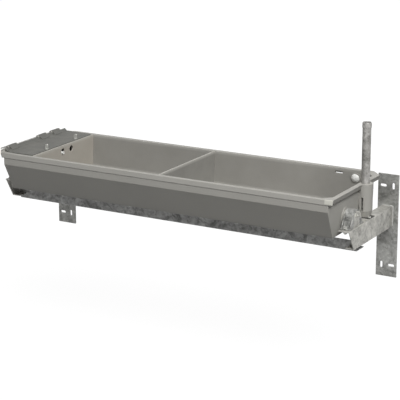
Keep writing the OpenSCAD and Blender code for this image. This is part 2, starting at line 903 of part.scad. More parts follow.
module pivot_clamp_left() { pivot_clamp(true); }

module pivot_clamp_right() { pivot_clamp(false); }

module clamp_bolt_places() {
    for (s = [-1, 1])
        translate([clamp_x + clamp_w / 2, s * clamp_bolt_at - pivot_fwd, -arm_drop]) children();
}

module clamp_bolts() {
    tip = tip_share * clamp_bolt_d;
    head = head_share * clamp_bolt_d;
    color([0.68, 0.68, 0.67]) at_rim() both_ends() clamp_bolt_places() {
        translate([0, 0, clamp_t + skim]) hex(hex_share * clamp_bolt_d, head);
        translate([0, 0, -sheet_t - tip]) cylinder(d = clamp_bolt_d, h = tip + sheet_t + clamp_t + head);
    }
}

module clamp_nuts() {
    nut = nut_share * clamp_bolt_d;
    color([0.62, 0.62, 0.61]) at_rim() both_ends() clamp_bolt_places()
        translate([0, 0, -sheet_t - nut - skim]) difference() {
            hex(hex_share * clamp_bolt_d, nut);
            translate([0, 0, -cut]) cylinder(r = clamp_bolt_d / 2 + skim, h = nut + 2 * cut);
        }
}

module rest_places() {
    translate([half_len + rest_out, column_back - rest_fwd, -arm_drop]) children();
}

// Rubber pads on the arms under the columns
module rest_pads() {
    color([0.12, 0.12, 0.12]) at_rim() both_ends() difference() {
        translate([flange_x + pad_in, column_back - pad_len / 2, skim - arm_drop])
            cube([flange_w - sheet_t - 2 * pad_in, pad_len, pad_t - skim]);
        rest_places() translate([0, 0, -cut]) cylinder(r = rest_hole_r, h = pad_t + 2 * cut);
    }
}

module rest_bolts() {
    head = head_share * rest_d;
    nut = nut_share * rest_d;
    color([0.72, 0.72, 0.71]) at_rim() both_ends() rest_places() {
        translate([0, 0, pad_t + skim]) cylinder(r = rest_washer_r, h = rest_washer_t);
        translate([0, 0, pad_t + rest_washer_t]) hex(hex_share * rest_d, head);
        translate([0, 0, -sheet_t - tip_share * rest_d])
            cylinder(d = rest_d, h = tip_share * rest_d + sheet_t + pad_t + rest_washer_t + head);
        translate([0, 0, -sheet_t - nut - skim]) hex(hex_share * rest_d, nut);
    }
}

// Wall plate with four slots and the arm that is welded to it
module bracket(left) {
    plate_x = arm_x + plate_out - plate_w / 2;
    front = -plate_t - arm_reach;
    top = rim_z - arm_drop;
    low = top - arm_h;
    color([0.62, 0.62, 0.6]) on_end(left) difference() {
        union() {
            translate([plate_x, 0, -slot_dz / 2]) rotate([90, 0, 0]) linear_extrude(plate_t) difference() {
                square([plate_w, plate_h], center = true);
                for (sx = [-1, 1], sz = [-1, 1]) translate([sx * slot_dx / 2, sz * slot_dz / 2])
                    rotate(sx == sz ? 90 : 0) slot_outline(slot_len, slot_w);
            }
            translate([arm_x - sheet_t, 0, 0]) along_x(sheet_t)
                polygon([[-plate_t, top], [front, top], [front + arm_cut, low], [-plate_t, low]]);
            translate([flange_x, front, top - sheet_t]) cube([flange_w, arm_reach, sheet_t]);
            translate([arm_x - foot_w, front + arm_cut, low]) cube([foot_w, arm_reach - arm_cut, sheet_t]);
        }
        translate([0, trough_y - rail_fwd - rail_gap, low - cut])
            cube([arm_x - sheet_t, rail_w + 2 * rail_gap, sheet_t + 2 * cut]);
        at_rim() clamp_bolt_places()
            translate([0, 0, -sheet_t - cut]) cylinder(d = clamp_hole_d, h = sheet_t + 2 * cut);
        at_rim() rest_places()
            translate([0, 0, -sheet_t - cut]) cylinder(r = rest_hole_r, h = sheet_t + 2 * cut);
    }
}

module bracket_left() { bracket(true); }

module bracket_right() { bracket(false); }

// Channel between the arms, open below, that stops the tipping trough
module cross_rail() {
    end_x = arm_x - sheet_t - rail_pad_t;
    pad_h = arm_h - rail_drop;
    color([0.4, 0.4, 0.41]) at_rim() translate([0, -rail_fwd, -arm_drop - rail_drop]) {
        translate([-end_x, 0, 0]) along_x(2 * end_x) difference() {
            translate([0, -rail_h]) square([rail_w, rail_h]);
            translate([rail_t, -rail_h - cut]) square([rail_w - 2 * rail_t, rail_h - rail_t + cut]);
        }
        both_ends() translate([end_x, 0, -pad_h]) cube([rail_pad_t - skim, rail_w, pad_h]);
    }
}

trough_shell();
valve_partition();
centre_divider();
valve_cover();
cover_hinge_rod();
thumb_screw_front();
thumb_screw_back();
valve_body();
valve_plunger();
outlet_nozzle();
float_pin();
float_arm();
float();
inlet_pipe();
inlet_locknut();
heating_mat();
thermostat();
insulation_board();
underside_cover();
underside_screws();
cable_gland();
side_plug();
lever_pipe();
lever_ring();
axle_stub_left();
axle_stub_right();
pivot_saddle_left();
pivot_saddle_right();
pivot_clamp_left();
pivot_clamp_right();
clamp_bolts();
clamp_nuts();
rest_pads();
rest_bolts();
bracket_left();
bracket_right();
cross_rail();
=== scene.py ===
"""Looks of the heated water trough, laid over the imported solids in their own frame."""
import json
import bpy
import numpy as np
from mathutils import Matrix, Vector

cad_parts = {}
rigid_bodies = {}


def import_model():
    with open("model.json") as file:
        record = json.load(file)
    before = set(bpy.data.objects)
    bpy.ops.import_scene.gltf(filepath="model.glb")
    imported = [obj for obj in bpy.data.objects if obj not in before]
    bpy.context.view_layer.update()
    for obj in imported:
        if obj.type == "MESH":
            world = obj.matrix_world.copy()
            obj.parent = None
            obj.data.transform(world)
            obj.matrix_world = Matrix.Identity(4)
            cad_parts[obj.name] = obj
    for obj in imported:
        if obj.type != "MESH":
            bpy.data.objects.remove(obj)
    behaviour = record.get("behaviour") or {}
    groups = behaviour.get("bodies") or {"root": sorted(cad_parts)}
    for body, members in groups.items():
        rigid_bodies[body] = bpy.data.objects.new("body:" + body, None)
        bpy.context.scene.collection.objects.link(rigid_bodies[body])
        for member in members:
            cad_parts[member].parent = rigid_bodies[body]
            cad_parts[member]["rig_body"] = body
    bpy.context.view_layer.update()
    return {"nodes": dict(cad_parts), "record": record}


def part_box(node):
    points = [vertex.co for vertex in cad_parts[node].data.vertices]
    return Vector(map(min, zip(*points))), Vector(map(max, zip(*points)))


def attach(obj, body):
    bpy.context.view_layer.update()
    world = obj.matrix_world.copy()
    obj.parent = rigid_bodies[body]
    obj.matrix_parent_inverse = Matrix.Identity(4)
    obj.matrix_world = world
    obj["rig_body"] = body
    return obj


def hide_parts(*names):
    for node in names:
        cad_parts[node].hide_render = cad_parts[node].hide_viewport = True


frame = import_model()
nodes = frame["nodes"]


# Levels and edges of the trough's rim and floor in the frame, in metres

RIM_TOP = 0.0675
HALF_LENGTH = 0.950
FRONT_EDGE, BACK_EDGE = -0.624, -0.018
FLOOR = 0.176


# Camera

CAMERA_PLACE = (3.9114, -6.9876, 2.0330)
CAMERA_AZIMUTH = np.radians(29.935)
CAMERA_TILT = np.radians(15.64)
CAMERA_ROLL = np.radians(-0.122)
PIXELS_PER_UNIT_DEPTH = 1572.634
PICTURE_PIXELS = 400.0
SENSOR_MM = 36.0


def place_camera():
    """Camera from its fitted place and the three angles azimuth, tilt and roll."""
    ahead = np.array([-np.sin(CAMERA_AZIMUTH) * np.cos(CAMERA_TILT),
                      np.cos(CAMERA_AZIMUTH) * np.cos(CAMERA_TILT), -np.sin(CAMERA_TILT)])
    right = np.array([np.cos(CAMERA_AZIMUTH), np.sin(CAMERA_AZIMUTH), 0.0])
    up = np.cross(right, ahead)
    turned_right = right * np.cos(CAMERA_ROLL) + up * np.sin(CAMERA_ROLL)
    turned_up = -right * np.sin(CAMERA_ROLL) + up * np.cos(CAMERA_ROLL)
    camera = bpy.data.objects.new("camera", bpy.data.cameras.new("camera"))
    axes = Matrix([list(row) for row in np.stack([turned_right, turned_up, -ahead], 1)])
    camera.matrix_world = Matrix.Translation(CAMERA_PLACE) @ axes.to_4x4()
    camera.data.sensor_width = SENSOR_MM
    camera.data.lens = PIXELS_PER_UNIT_DEPTH / PICTURE_PIXELS * SENSOR_MM
    camera.data.clip_end = 200.0
    bpy.context.scene.collection.objects.link(camera)
    bpy.context.scene.camera = camera


# Small helpers for node trees

def put(tree, kind, settings=None, **inputs):
    """One node with its settings and the values or links of its inputs, by name or as i and a number."""
    node = tree.nodes.new(kind)
    for key, value in (settings or {}).items():
        setattr(node, key, value)
    for key, value in inputs.items():
        numbered = key[0] == "i" and key[1:].isdigit()
        socket = node.inputs[int(key[1:]) if numbered else key.replace("_", " ")]
        if isinstance(value, bpy.types.NodeSocket):
            tree.links.new(value, socket)
        else:
            socket.default_value = value
    return node


def maths(tree, operation, first, second=0.0, third=0.0, clamp=False):
    """Output of one Math node."""
    return put(tree, "ShaderNodeMath", {"operation": operation, "use_clamp": clamp},
               i0=first, i1=second, i2=third).outputs[0]


def spread(tree, value, low, high, to_low=0.0, to_high=1.0):
    """A value mapped from one range to another and held inside it."""
    return put(tree, "ShaderNodeMapRange", Value=value, From_Min=low, From_Max=high,
               To_Min=to_low, To_Max=to_high).outputs["Result"]


def blend_colours(tree, share, first, second, how="MIX"):
    """Two colours mixed by a share."""
    node = put(tree, "ShaderNodeMix", {"data_type": "RGBA", "blend_type": how, "clamp_factor": True},
               i0=share, i6=first, i7=second)
    return node.outputs[2]


def noise(tree, where, scale, detail=3.0, rough=0.55, twist=0.0):
    """Noise with a scale in waves per metre."""
    return put(tree, "ShaderNodeTexNoise", Vector=where, Scale=scale, Detail=detail, Roughness=rough,
               Distortion=twist).outputs["Fac"]


def stretched(tree, where, scale):
    """Coordinates stretched by a factor along each axis."""
    return put(tree, "ShaderNodeMapping", Vector=where, Scale=scale).outputs["Vector"]


def start_group(name, wanted, given):
    """An empty node group with named inputs and outputs."""
    group = bpy.data.node_groups.new(name, "ShaderNodeTree")
    for label, kind, value in wanted:
        socket = group.interface.new_socket(label, in_out="INPUT", socket_type="NodeSocket" + kind)
        if value is not None:
            socket.default_value = value
    for label, kind in given:
        group.interface.new_socket(label, in_out="OUTPUT", socket_type="NodeSocket" + kind)
    return group, group.nodes.new("NodeGroupInput").outputs, group.nodes.new("NodeGroupOutput").inputs


def use(tree, group, **inputs):
    """A group placed in a material with its own values."""
    node = put(tree, "ShaderNodeGroup", {"node_tree": group}, **inputs)
    return node.outputs


# Effects that several finishes share

def make_moulded_skin():
    """Grain, pits and slow waves of moulded plastic as a height in shares of a millimetre."""
    group, have, out = start_group(
        "moulded_skin", [("Grain size", "Float", 1.2), ("Grain", "Float", 1.0), ("Waves", "Float", 1.0)],
        [("Height", "Float"), ("Fine", "Float")])
    where = put(group, "ShaderNodeTexCoord").outputs["Object"]
    per_metre = maths(group, "DIVIDE", 1000.0, have["Grain size"])
    grain = noise(group, where, per_metre, 2.0, 0.6)
    pits = put(group, "ShaderNodeTexVoronoi", Vector=where, Scale=260.0).outputs["Distance"]
    pit_height = spread(group, pits, 0.0, 0.22, -1.0, 0.0)
    waves = noise(group, where, 5.0, 1.0)
    height = maths(group, "MULTIPLY", grain, have["Grain"])
    height = maths(group, "MULTIPLY_ADD", pit_height, maths(group, "MULTIPLY", have["Grain"], 0.35), height)
    height = maths(group, "MULTIPLY_ADD", waves, maths(group, "MULTIPLY", have["Waves"], 6.0), height)
    group.links.new(height, out["Height"])
    group.links.new(grain, out["Fine"])
    return group


def make_cloudy_tone():
    """A colour that drifts slowly over a surface, with finer mottling inside the drift."""
    group, have, out = start_group(
        "cloudy_tone",
        [("Colour", "Color", (0.4, 0.4, 0.38, 1)), ("Drift", "Float", 0.06), ("Mottle", "Float", 0.05),
         ("Cloud size", "Float", 0.25), ("Mottle size", "Float", 0.012)],
        [("Colour", "Color")])
    where = put(group, "ShaderNodeTexCoord").outputs["Object"]
    cloud = noise(group, where, maths(group, "DIVIDE", 1.0, have["Cloud size"]), 3.0, 0.5)
    speck = noise(group, where, maths(group, "DIVIDE", 1.0, have["Mottle size"]), 3.0, 0.6)
    shift = maths(group, "MULTIPLY", maths(group, "SUBTRACT", cloud, 0.5),
                  maths(group, "MULTIPLY", have["Drift"], 4.0))
    shift = maths(group, "MULTIPLY_ADD", maths(group, "SUBTRACT", speck, 0.5),
                  maths(group, "MULTIPLY", have["Mottle"], 4.0), shift)
    level = maths(group, "ADD", shift, 1.0)
    tone = put(group, "ShaderNodeHueSaturation", Hue=0.5, Saturation=1.0, Value=level, Fac=1.0,
               Color=have["Colour"])
    group.links.new(tone.outputs["Color"], out["Colour"])
    return group


def make_worn_edges():
    """Mask of the outer edges within a radius, broken up by noise, and the softened normal."""
    group, have, out = start_group(
        "worn_edges", [("Radius", "Float", 0.004), ("Patchiness", "Float", 0.5)],
        [("Mask", "Float"), ("Normal", "Vector")])
    where = put(group, "ShaderNodeTexCoord").outputs["Object"]
    soft = put(group, "ShaderNodeBevel", {"samples": 6}, Radius=have["Radius"]).outputs["Normal"]
    plain = put(group, "ShaderNodeNewGeometry").outputs["Normal"]
    agree = put(group, "ShaderNodeVectorMath", {"operation": "DOT_PRODUCT"}, i0=soft,
                i1=plain).outputs["Value"]
    edge = spread(group, agree, 0.995, 0.86)
    broken = spread(group, noise(group, where, 55.0, 4.0, 0.65), 0.32, 0.62)
    kept = put(group, "ShaderNodeMix", {"data_type": "FLOAT"}, i0=have["Patchiness"], i2=1.0,
               i3=broken).outputs[0]
    group.links.new(maths(group, "MULTIPLY", edge, kept, clamp=True), out["Mask"])
    group.links.new(soft, out["Normal"])
    return group


def make_settled_dust():
    """Mask of dust on faces that look up, gathered in patches."""
    group, have, out = start_group("settled_dust", [("Amount", "Float", 0.3)], [("Mask", "Float")])
    place = put(group, "ShaderNodeTexCoord")
    upward = put(group, "ShaderNodeSeparateXYZ", Vector=place.outputs["Normal"]).outputs["Z"]
    patches = spread(group, noise(group, place.outputs["Object"], 14.0, 5.0, 0.6), 0.35, 0.75)
    mask = maths(group, "MULTIPLY", spread(group, upward, 0.55, 1.0), patches)
    group.links.new(maths(group, "MULTIPLY", mask, have["Amount"], clamp=True), out["Mask"])
    return group


# Where the painted shade of the inside starts at each side, between the outer and the inner wall face:
# metres in from the rim's edge at rim height, and metres further in with each metre of depth
SHADE_FRONT = (0.0225, 0.21)
SHADE_BACK = (0.0225, 0.04)
SHADE_END = (0.0235, 0.02)


def make_painted_inside_shade():
    """Mask of the inside of the trough, where the colour is darkened as painted shade, in ragged patches."""
    group, have, out = start_group("painted_inside_shade", [("Top", "Float", 0.062)], [("Mask", "Float")])
    where = put(group, "ShaderNodeTexCoord").outputs["Object"]
    place = put(group, "ShaderNodeSeparateXYZ", Vector=where).outputs
    depth = maths(group, "SUBTRACT", RIM_TOP, place["Z"])
    along = maths(group, "ABSOLUTE", place["X"])
    rooms = ((SHADE_FRONT, maths(group, "ADD", place["Y"], -FRONT_EDGE - SHADE_FRONT[0])),
             (SHADE_BACK, maths(group, "SUBTRACT", BACK_EDGE - SHADE_BACK[0], place["Y"])),
             (SHADE_END, maths(group, "SUBTRACT", HALF_LENGTH - SHADE_END[0], along)))
    front, back, end = [maths(group, "MULTIPLY_ADD", depth, -line[1], room) for line, room in rooms]
    inset = maths(group, "MINIMUM", maths(group, "MINIMUM", front, back), end)
    inside = maths(group, "MULTIPLY", spread(group, inset, 0.0, 0.002),
                   maths(group, "LESS_THAN", depth, FLOOR + 0.0015))
    below = spread(group, maths(group, "SUBTRACT", have["Top"], place["Z"]), 0.0, 0.012)
    patches = spread(group, noise(group, where, 9.0, 4.0), 0.25, 0.7, 0.75, 1.0)
    mask = maths(group, "MULTIPLY", maths(group, "MULTIPLY", inside, below), patches)
    group.links.new(mask, out["Mask"])
    return group


def make_zinc_crystals():
    """Dull crystals of a hot zinc coat: cells of their own grey under larger cloudy patches."""
    group, have, out = start_group(
        "zinc_crystals",
        [("Dark", "Color", (0.2, 0.2, 0.19, 1)), ("Light", "Color", (0.5, 0.5, 0.48, 1)),
         ("Crystal size", "Float", 0.012), ("Patch size", "Float", 0.06), ("Contrast", "Float", 0.5)],
        [("Colour", "Color"), ("Roughness", "Float"), ("Height", "Float")])
    where = put(group, "ShaderNodeTexCoord").outputs["Object"]
    warp = put(group, "ShaderNodeTexNoise", Vector=where, Scale=70.0, Detail=2.0).outputs["Color"]
    bending = {"data_type": "VECTOR", "factor_mode": "UNIFORM", "clamp_factor": True}
    bent = put(group, "ShaderNodeMix", bending, i0=0.012, i4=where, i5=warp).outputs[1]
    cells = put(group, "ShaderNodeTexVoronoi", Vector=bent, Randomness=1.0,
                Scale=maths(group, "DIVIDE", 1.0, have["Crystal size"]))
    shade = put(group, "ShaderNodeSeparateColor", Color=cells.outputs["Color"]).outputs[0]
    patch = noise(group, where, maths(group, "DIVIDE", 1.0, have["Patch size"]), 5.0, 0.62, 0.6)
    share = maths(group, "MULTIPLY_ADD", maths(group, "SUBTRACT", patch, 0.5), 2.6, 0.5)
    share = maths(group, "MULTIPLY_ADD", maths(group, "SUBTRACT", shade, 0.5), have["Contrast"], share,
                  clamp=True)
    group.links.new(blend_colours(group, share, have["Dark"], have["Light"]), out["Colour"])
    group.links.new(spread(group, share, 0.0, 1.0, 0.62, 0.42), out["Roughness"])
    rim = spread(group, cells.outputs["Distance"], 0.0, 0.012, 0.0, 0.4)
    lumps = noise(group, where, 160.0, 3.0)
    group.links.new(maths(group, "ADD", rim, lumps), out["Height"])
    return group


def make_turned_lines():
    """Fine lines across one axis, as a tool or a brush leaves them."""
    group, have, out = start_group(
        "turned_lines", [("Stretch", "Vector", (1.0, 1.0, 1.0)), ("Lines", "Float", 900.0)],
        [("Height", "Float")])
    where = put(group, "ShaderNodeTexCoord").outputs["Object"]
    pulled = put(group, "ShaderNodeVectorMath", {"operation": "MULTIPLY"}, i0=where,
                 i1=have["Stretch"]).outputs[0]
    group.links.new(noise(group, pulled, have["Lines"], 2.0, 0.5), out["Height"])
    return group


def make_thread_grooves():
    """Grooves of a thread at a pitch along Z, between two heights."""
    group, have, out = start_group(
        "thread_grooves", [("Pitch", "Float", 0.0018), ("Low", "Float", -1.0), ("High", "Float", 1.0)],
        [("Height", "Float"), ("Mask", "Float")])
    where = put(group, "ShaderNodeTexCoord").outputs["Object"]
    along = put(group, "ShaderNodeSeparateXYZ", Vector=where).outputs["Z"]
    tooth = maths(group, "PINGPONG", along, maths(group, "MULTIPLY", have["Pitch"], 0.5))
    tooth = maths(group, "DIVIDE", tooth, maths(group, "MULTIPLY", have["Pitch"], 0.5))
    inside = maths(group, "MULTIPLY", maths(group, "GREATER_THAN", along, have["Low"]),
                   maths(group, "LESS_THAN", along, have["High"]))
    group.links.new(maths(group, "MULTIPLY", tooth, inside), out["Height"])
    group.links.new(inside, out["Mask"])
    return group


SKIN = make_moulded_skin()
TONE = make_cloudy_tone()
WEAR = make_worn_edges()
DUST = make_settled_dust()
INSIDE_SHADE = make_painted_inside_shade()
ZINC = make_zinc_crystals()
LINES = make_turned_lines()
THREAD = make_thread_grooves()


# Finishes

def start_finish(name):
    """A material with its shader, ready for colour, roughness and normal."""
    material = bpy.data.materials.new(name)
    material.use_nodes = True
    tree = material.node_tree
    shader = tree.nodes["Principled BSDF"]
    return material, tree, shader


def grey(*levels):
    """A colour from its three levels."""
    return (*levels, 1.0)


def add_bump(tree, shader, strength, distance, height, **normal):
    """Bump from a height, on a softened normal where one is given."""
    bump = put(tree, "ShaderNodeBump", Strength=strength, Distance=distance, Height=height, **normal)
    tree.links.new(bump.outputs["Normal"], shader.inputs["Normal"])


def moulded_plastic(name, colour, edge_colour, rough=0.55, grain=1.0, grain_size=1.2, waves=1.0, dust=0.25,
                    drift=0.04, edge=0.005, foot=None, inside_shade=None):
    """Matt moulded plastic: cloudy tone, rubbed edges, a little dust and a fine grain. A foot gives the
    heights between which the colour falls to a darker share, as painted shade towards the bottom, and the
    inside tint darkens the inside faces as painted shade."""
    material, tree, shader = start_finish(name)
    tone = use(tree, TONE, Colour=colour, Drift=drift, Mottle=0.02, Cloud_size=0.3, Mottle_size=0.006)
    skin = use(tree, SKIN, Grain_size=grain_size, Grain=grain, Waves=waves)
    worn = use(tree, WEAR, Radius=edge, Patchiness=0.45)
    dusty = use(tree, DUST, Amount=dust)
    base = tone["Colour"]
    # Painted shade: the colour falls to a darker share towards the trough's lower edge.
    if foot:
        where = put(tree, "ShaderNodeTexCoord").outputs["Object"]
        height = put(tree, "ShaderNodeSeparateXYZ", Vector=where).outputs["Z"]
        ragged = noise(tree, stretched(tree, where, (1, 1, 0.35)), 30.0, 4.0)
        ragged = maths(tree, "MULTIPLY_ADD", ragged, 0.03, height)
        low, high, share = foot
        base = blend_colours(tree, spread(tree, ragged, high, low, 0.0, 1.0), base,
                             blend_colours(tree, 1.0, base, grey(share, share, share), "MULTIPLY"))
    # Painted shade: the inside faces are darkened by the tint given for them.
    if inside_shade:
        shaded_inside = use(tree, INSIDE_SHADE, Top=0.064)
        base = blend_colours(tree, shaded_inside["Mask"], base, blend_colours(tree, 1.0, base, inside_shade, "MULTIPLY"))
    base = blend_colours(tree, maths(tree, "MULTIPLY", worn["Mask"], 0.55), base, edge_colour)
    base = blend_colours(tree, dusty["Mask"], base, grey(0.52, 0.50, 0.44))
    tree.links.new(base, shader.inputs["Base Color"])
    rough_value = maths(tree, "MULTIPLY_ADD", skin["Fine"], 0.16, rough - 0.08)
    rough_value = maths(tree, "MULTIPLY_ADD", dusty["Mask"], 0.3, rough_value, clamp=True)
    tree.links.new(rough_value, shader.inputs["Roughness"])
    shader.inputs["Specular IOR Level"].default_value = 0.35
    add_bump(tree, shader, 0.35, 0.00035, skin["Height"], Normal=worn["Normal"])
    return material


def zinc_coated(name, dark, light, metallic=0.45, crystal=0.011, patch=0.06, contrast=0.45,
                edge_colour=(0.7, 0.7, 0.68, 1.0), plate=None, edge=0.0015):
    """Hot-dip galvanised steel: dull crystals, cloudy patches and bright rubbed edges. A plate gives the
    depth in front of the wall within which the sheet takes its own two darker greys, and these two greys."""
    material, tree, shader = start_finish(name)
    coat = use(tree, ZINC, Dark=dark, Light=light, Crystal_size=crystal, Patch_size=patch, Contrast=contrast)
    worn = use(tree, WEAR, Radius=edge, Patchiness=0.6)
    base = coat["Colour"]
    if plate:
        depth, plate_dark, plate_light = plate
        other = use(tree, ZINC, Dark=plate_dark, Light=plate_light, Crystal_size=crystal,
                    Patch_size=patch * 1.3, Contrast=contrast)
        where = put(tree, "ShaderNodeTexCoord").outputs["Object"]
        behind = put(tree, "ShaderNodeSeparateXYZ", Vector=where).outputs["Y"]
        base = blend_colours(tree, maths(tree, "GREATER_THAN", behind, -depth), base, other["Colour"])
    base = blend_colours(tree, maths(tree, "MULTIPLY", worn["Mask"], 0.5), base, edge_colour)
    tree.links.new(base, shader.inputs["Base Color"])
    tree.links.new(coat["Roughness"], shader.inputs["Roughness"])
    shader.inputs["Metallic"].default_value = metallic
    add_bump(tree, shader, 0.3, 0.0003, coat["Height"], Normal=worn["Normal"])
    return material


def turned_metal(name, colour, rough=0.35, metallic=0.9, thread=None, tint=0.05):
    """Plated or turned metal with fine lines, faint stains, and grooves where it carries a thread."""
    material, tree, shader = start_finish(name)
    tone = use(tree, TONE, Colour=colour, Drift=tint, Mottle=0.04, Cloud_size=0.02, Mottle_size=0.003)
    brushed = use(tree, LINES, Stretch=(1, 1, 0.05), Lines=900.0)
    worn = use(tree, WEAR, Radius=0.0008, Patchiness=0.3)
    base = blend_colours(tree, maths(tree, "MULTIPLY", worn["Mask"], 0.4), tone["Colour"],
                         grey(0.85, 0.84, 0.8))
    height = brushed["Height"]
    if thread:
        pitch, low, high = thread
        grooves = use(tree, THREAD, Pitch=pitch, Low=low, High=high)
        height = maths(tree, "MULTIPLY_ADD", grooves["Height"], 6.0, height)
        shade = maths(tree, "SUBTRACT", grooves["Mask"], grooves["Height"])
        shade = maths(tree, "MULTIPLY", shade, 0.35, clamp=True)
        base = blend_colours(tree, shade, base, grey(0.12, 0.12, 0.11))
    tree.links.new(base, shader.inputs["Base Color"])
    lined = spread(tree, brushed["Height"], 0.3, 0.7, rough - 0.07, rough + 0.1)
    tree.links.new(lined, shader.inputs["Roughness"])
    shader.inputs["Metallic"].default_value = metallic
    add_bump(tree, shader, 0.4, 0.0002, height, Normal=worn["Normal"])
    return material


def cast_metal(name, dark, light, metallic=0.35):
    """Rough galvanised casting with a grainy skin and rubbed ribs."""
    material, tree, shader = start_finish(name)
    coat = use(tree, ZINC, Dark=dark, Light=light, Crystal_size=0.006, Patch_size=0.03, Contrast=0.25)
    worn = use(tree, WEAR, Radius=0.002, Patchiness=0.5)
    where = put(tree, "ShaderNodeTexCoord").outputs["Object"]
    sand = noise(tree, where, 500.0, 4.0, 0.7)
    base = blend_colours(tree, spread(tree, sand, 0.3, 0.75), coat["Colour"],
                         blend_colours(tree, 1.0, coat["Colour"], grey(1.35, 1.35, 1.33), "MULTIPLY"))
    base = blend_colours(tree, maths(tree, "MULTIPLY", worn["Mask"], 0.6), base, grey(0.52, 0.52, 0.50))
    tree.links.new(base, shader.inputs["Base Color"])
    tree.links.new(spread(tree, sand, 0.3, 0.7, 0.5, 0.7), shader.inputs["Roughness"])
    shader.inputs["Metallic"].default_value = metallic
    add_bump(tree, shader, 0.5, 0.0006, sand, Normal=worn["Normal"])
    return material


def soft_foam(name, colour):
    """Closed-cell foam with small open bubbles at its surface."""
    material, tree, shader = start_finish(name)
    tone = use(tree, TONE, Colour=colour, Drift=0.04, Mottle=0.05, Cloud_size=0.15, Mottle_size=0.004)
    where = put(tree, "ShaderNodeTexCoord").outputs["Object"]
    cells = put(tree, "ShaderNodeTexVoronoi", Vector=where, Scale=420.0).outputs["Distance"]
    # Painted shade: the open bubbles are drawn in a darker share of the foam's own colour.
    base = blend_colours(tree, spread(tree, cells, 0.25, 0.0, 0.0, 0.5), tone["Colour"],
                         grey(0.42, 0.38, 0.22))
    tree.links.new(base, shader.inputs["Base Color"])
    tree.links.new(spread(tree, cells, 0.0, 0.6, 0.95, 0.8), shader.inputs["Roughness"])
    add_bump(tree, shader, 0.6, 0.0005, cells)
    return material


# Each finish: how it is made, its colours, and its own values
RECIPES = {
    # The trough's foot darkens its lower edge as painted shade.
    # Tints given for the inside are painted shade on the inside faces; the divider's is the darkest.
    "trough_plastic": (moulded_plastic, (grey(0.334, 0.326, 0.301), grey(0.42, 0.41, 0.375)),
                       {"foot": (-0.135, -0.095, 0.9), "inside_shade": grey(0.72, 0.715, 0.71), "edge": 0.003}),
    "panel_plastic": (moulded_plastic, (grey(0.41, 0.395, 0.355), grey(0.5, 0.48, 0.43)),
                      {"edge": 0.002, "grain_size": 0.9, "waves": 0.4, "inside_shade": grey(0.85, 0.82, 0.80)}),
    "divider_plastic": (moulded_plastic, (grey(0.40, 0.39, 0.36), grey(0.48, 0.465, 0.43)),
                        {"edge": 0.002, "grain_size": 0.9, "waves": 0.4, "inside_shade": grey(0.56, 0.56, 0.56)}),
    "cover_plastic": (moulded_plastic, (grey(0.100, 0.100, 0.091), grey(0.17, 0.17, 0.158)),
                      {"rough": 0.6, "grain": 1.4, "edge": 0.003, "dust": 0.12}),
    "zinc_steel": (turned_metal, (grey(0.50, 0.50, 0.47),), {"rough": 0.46, "metallic": 0.7}),
    "stainless_steel": (turned_metal, (grey(0.58, 0.58, 0.57),), {"rough": 0.28}),
    "galvanised_steel": (zinc_coated, (grey(0.265, 0.26, 0.24), grey(0.55, 0.54, 0.50)),
                         {"plate": (0.0081, grey(0.165, 0.165, 0.155), grey(0.42, 0.42, 0.40))}),
    "rail_steel": (zinc_coated, (grey(0.145, 0.145, 0.14), grey(0.43, 0.43, 0.42)),
                   {"metallic": 0.35, "edge_colour": grey(0.4, 0.4, 0.39)}),
    "lever_zinc": (zinc_coated, (grey(0.17, 0.165, 0.155), grey(0.44, 0.43, 0.41)),
                   {"metallic": 0.5, "crystal": 0.008, "patch": 0.04}),
    "cast_steel": (cast_metal, (grey(0.08, 0.08, 0.077), grey(0.40, 0.40, 0.385)), {}),
    "weld_zinc": (turned_metal, (grey(0.45, 0.45, 0.43),), {"rough": 0.5, "metallic": 0.5}),
    "brass": (turned_metal, (grey(0.55, 0.38, 0.15),), {"rough": 0.38, "tint": 0.08}),
    "inlet_thread": (turned_metal, (grey(0.55, 0.38, 0.15),),
                     {"rough": 0.38, "tint": 0.08, "thread": (0.0018, -0.1655, -0.1457)}),
    "white_plastic": (moulded_plastic, (grey(0.80, 0.80, 0.77), grey(0.9, 0.9, 0.88)),
                      {"rough": 0.35, "grain": 0.4, "waves": 0.2, "dust": 0.05, "drift": 0.01,
                       "edge": 0.001}),
    "label_white": (moulded_plastic, (grey(0.50, 0.495, 0.445), grey(0.58, 0.58, 0.53)),
                    {"rough": 0.4, "grain": 0.3, "waves": 0.1, "dust": 0.02, "drift": 0.015,
                     "edge": 0.0008}),
    "black_plastic": (moulded_plastic, (grey(0.02, 0.02, 0.022), grey(0.07, 0.07, 0.07)),
                      {"rough": 0.5, "edge": 0.001, "dust": 0.08}),
    "heater_rubber": (moulded_plastic, (grey(0.52, 0.13, 0.04), grey(0.6, 0.2, 0.08)),
                      {"rough": 0.65, "edge": 0.001, "dust": 0.0, "grain_size": 2.5}),
    "foam": (soft_foam, (grey(0.68, 0.62, 0.36),), {}),
    "pad_rubber": (moulded_plastic, (grey(0.018, 0.018, 0.018), grey(0.06, 0.06, 0.058)),
                   {"rough": 0.75, "edge": 0.001, "dust": 0.15}),
}
FINISHES = {name: make(name, *colours, **values) for name, (make, colours, values) in RECIPES.items()}
# Nodes whose finish differs from that of their slot
OWN_FINISH = {"inlet_pipe": "inlet_thread", "centre_divider": "divider_plastic", "lever_pipe": "lever_zinc",
              "lever_ring": "lever_zinc", "cover_hinge_rod": "lever_zinc"}

for part in frame["record"]["subparts"]:
    own_materials = nodes[part["node"]].data.materials
    own_materials.clear()
    own_materials.append(FINISHES[OWN_FINISH.get(part["node"], part["material_slot"])])


# Outline of the trough as it is seen

# The lip's depth in the solid and as it is seen, and how far its foot stands in at the back and the ends and
# its top edge at the front
LIP = 0.0155
LIP_SEEN = 0.0245
LIP_LEAN_BACK = 0.004
LIP_LEAN_END = 0.008
LIP_TOP_IN = 0.0035
LIP_ARC = 0.058
# The heater recess stays as it is from here in, and so does the basin's middle
RECESS_IN = 0.0735
DEEP_END, DEEP_SIDE = 0.012, 0.08
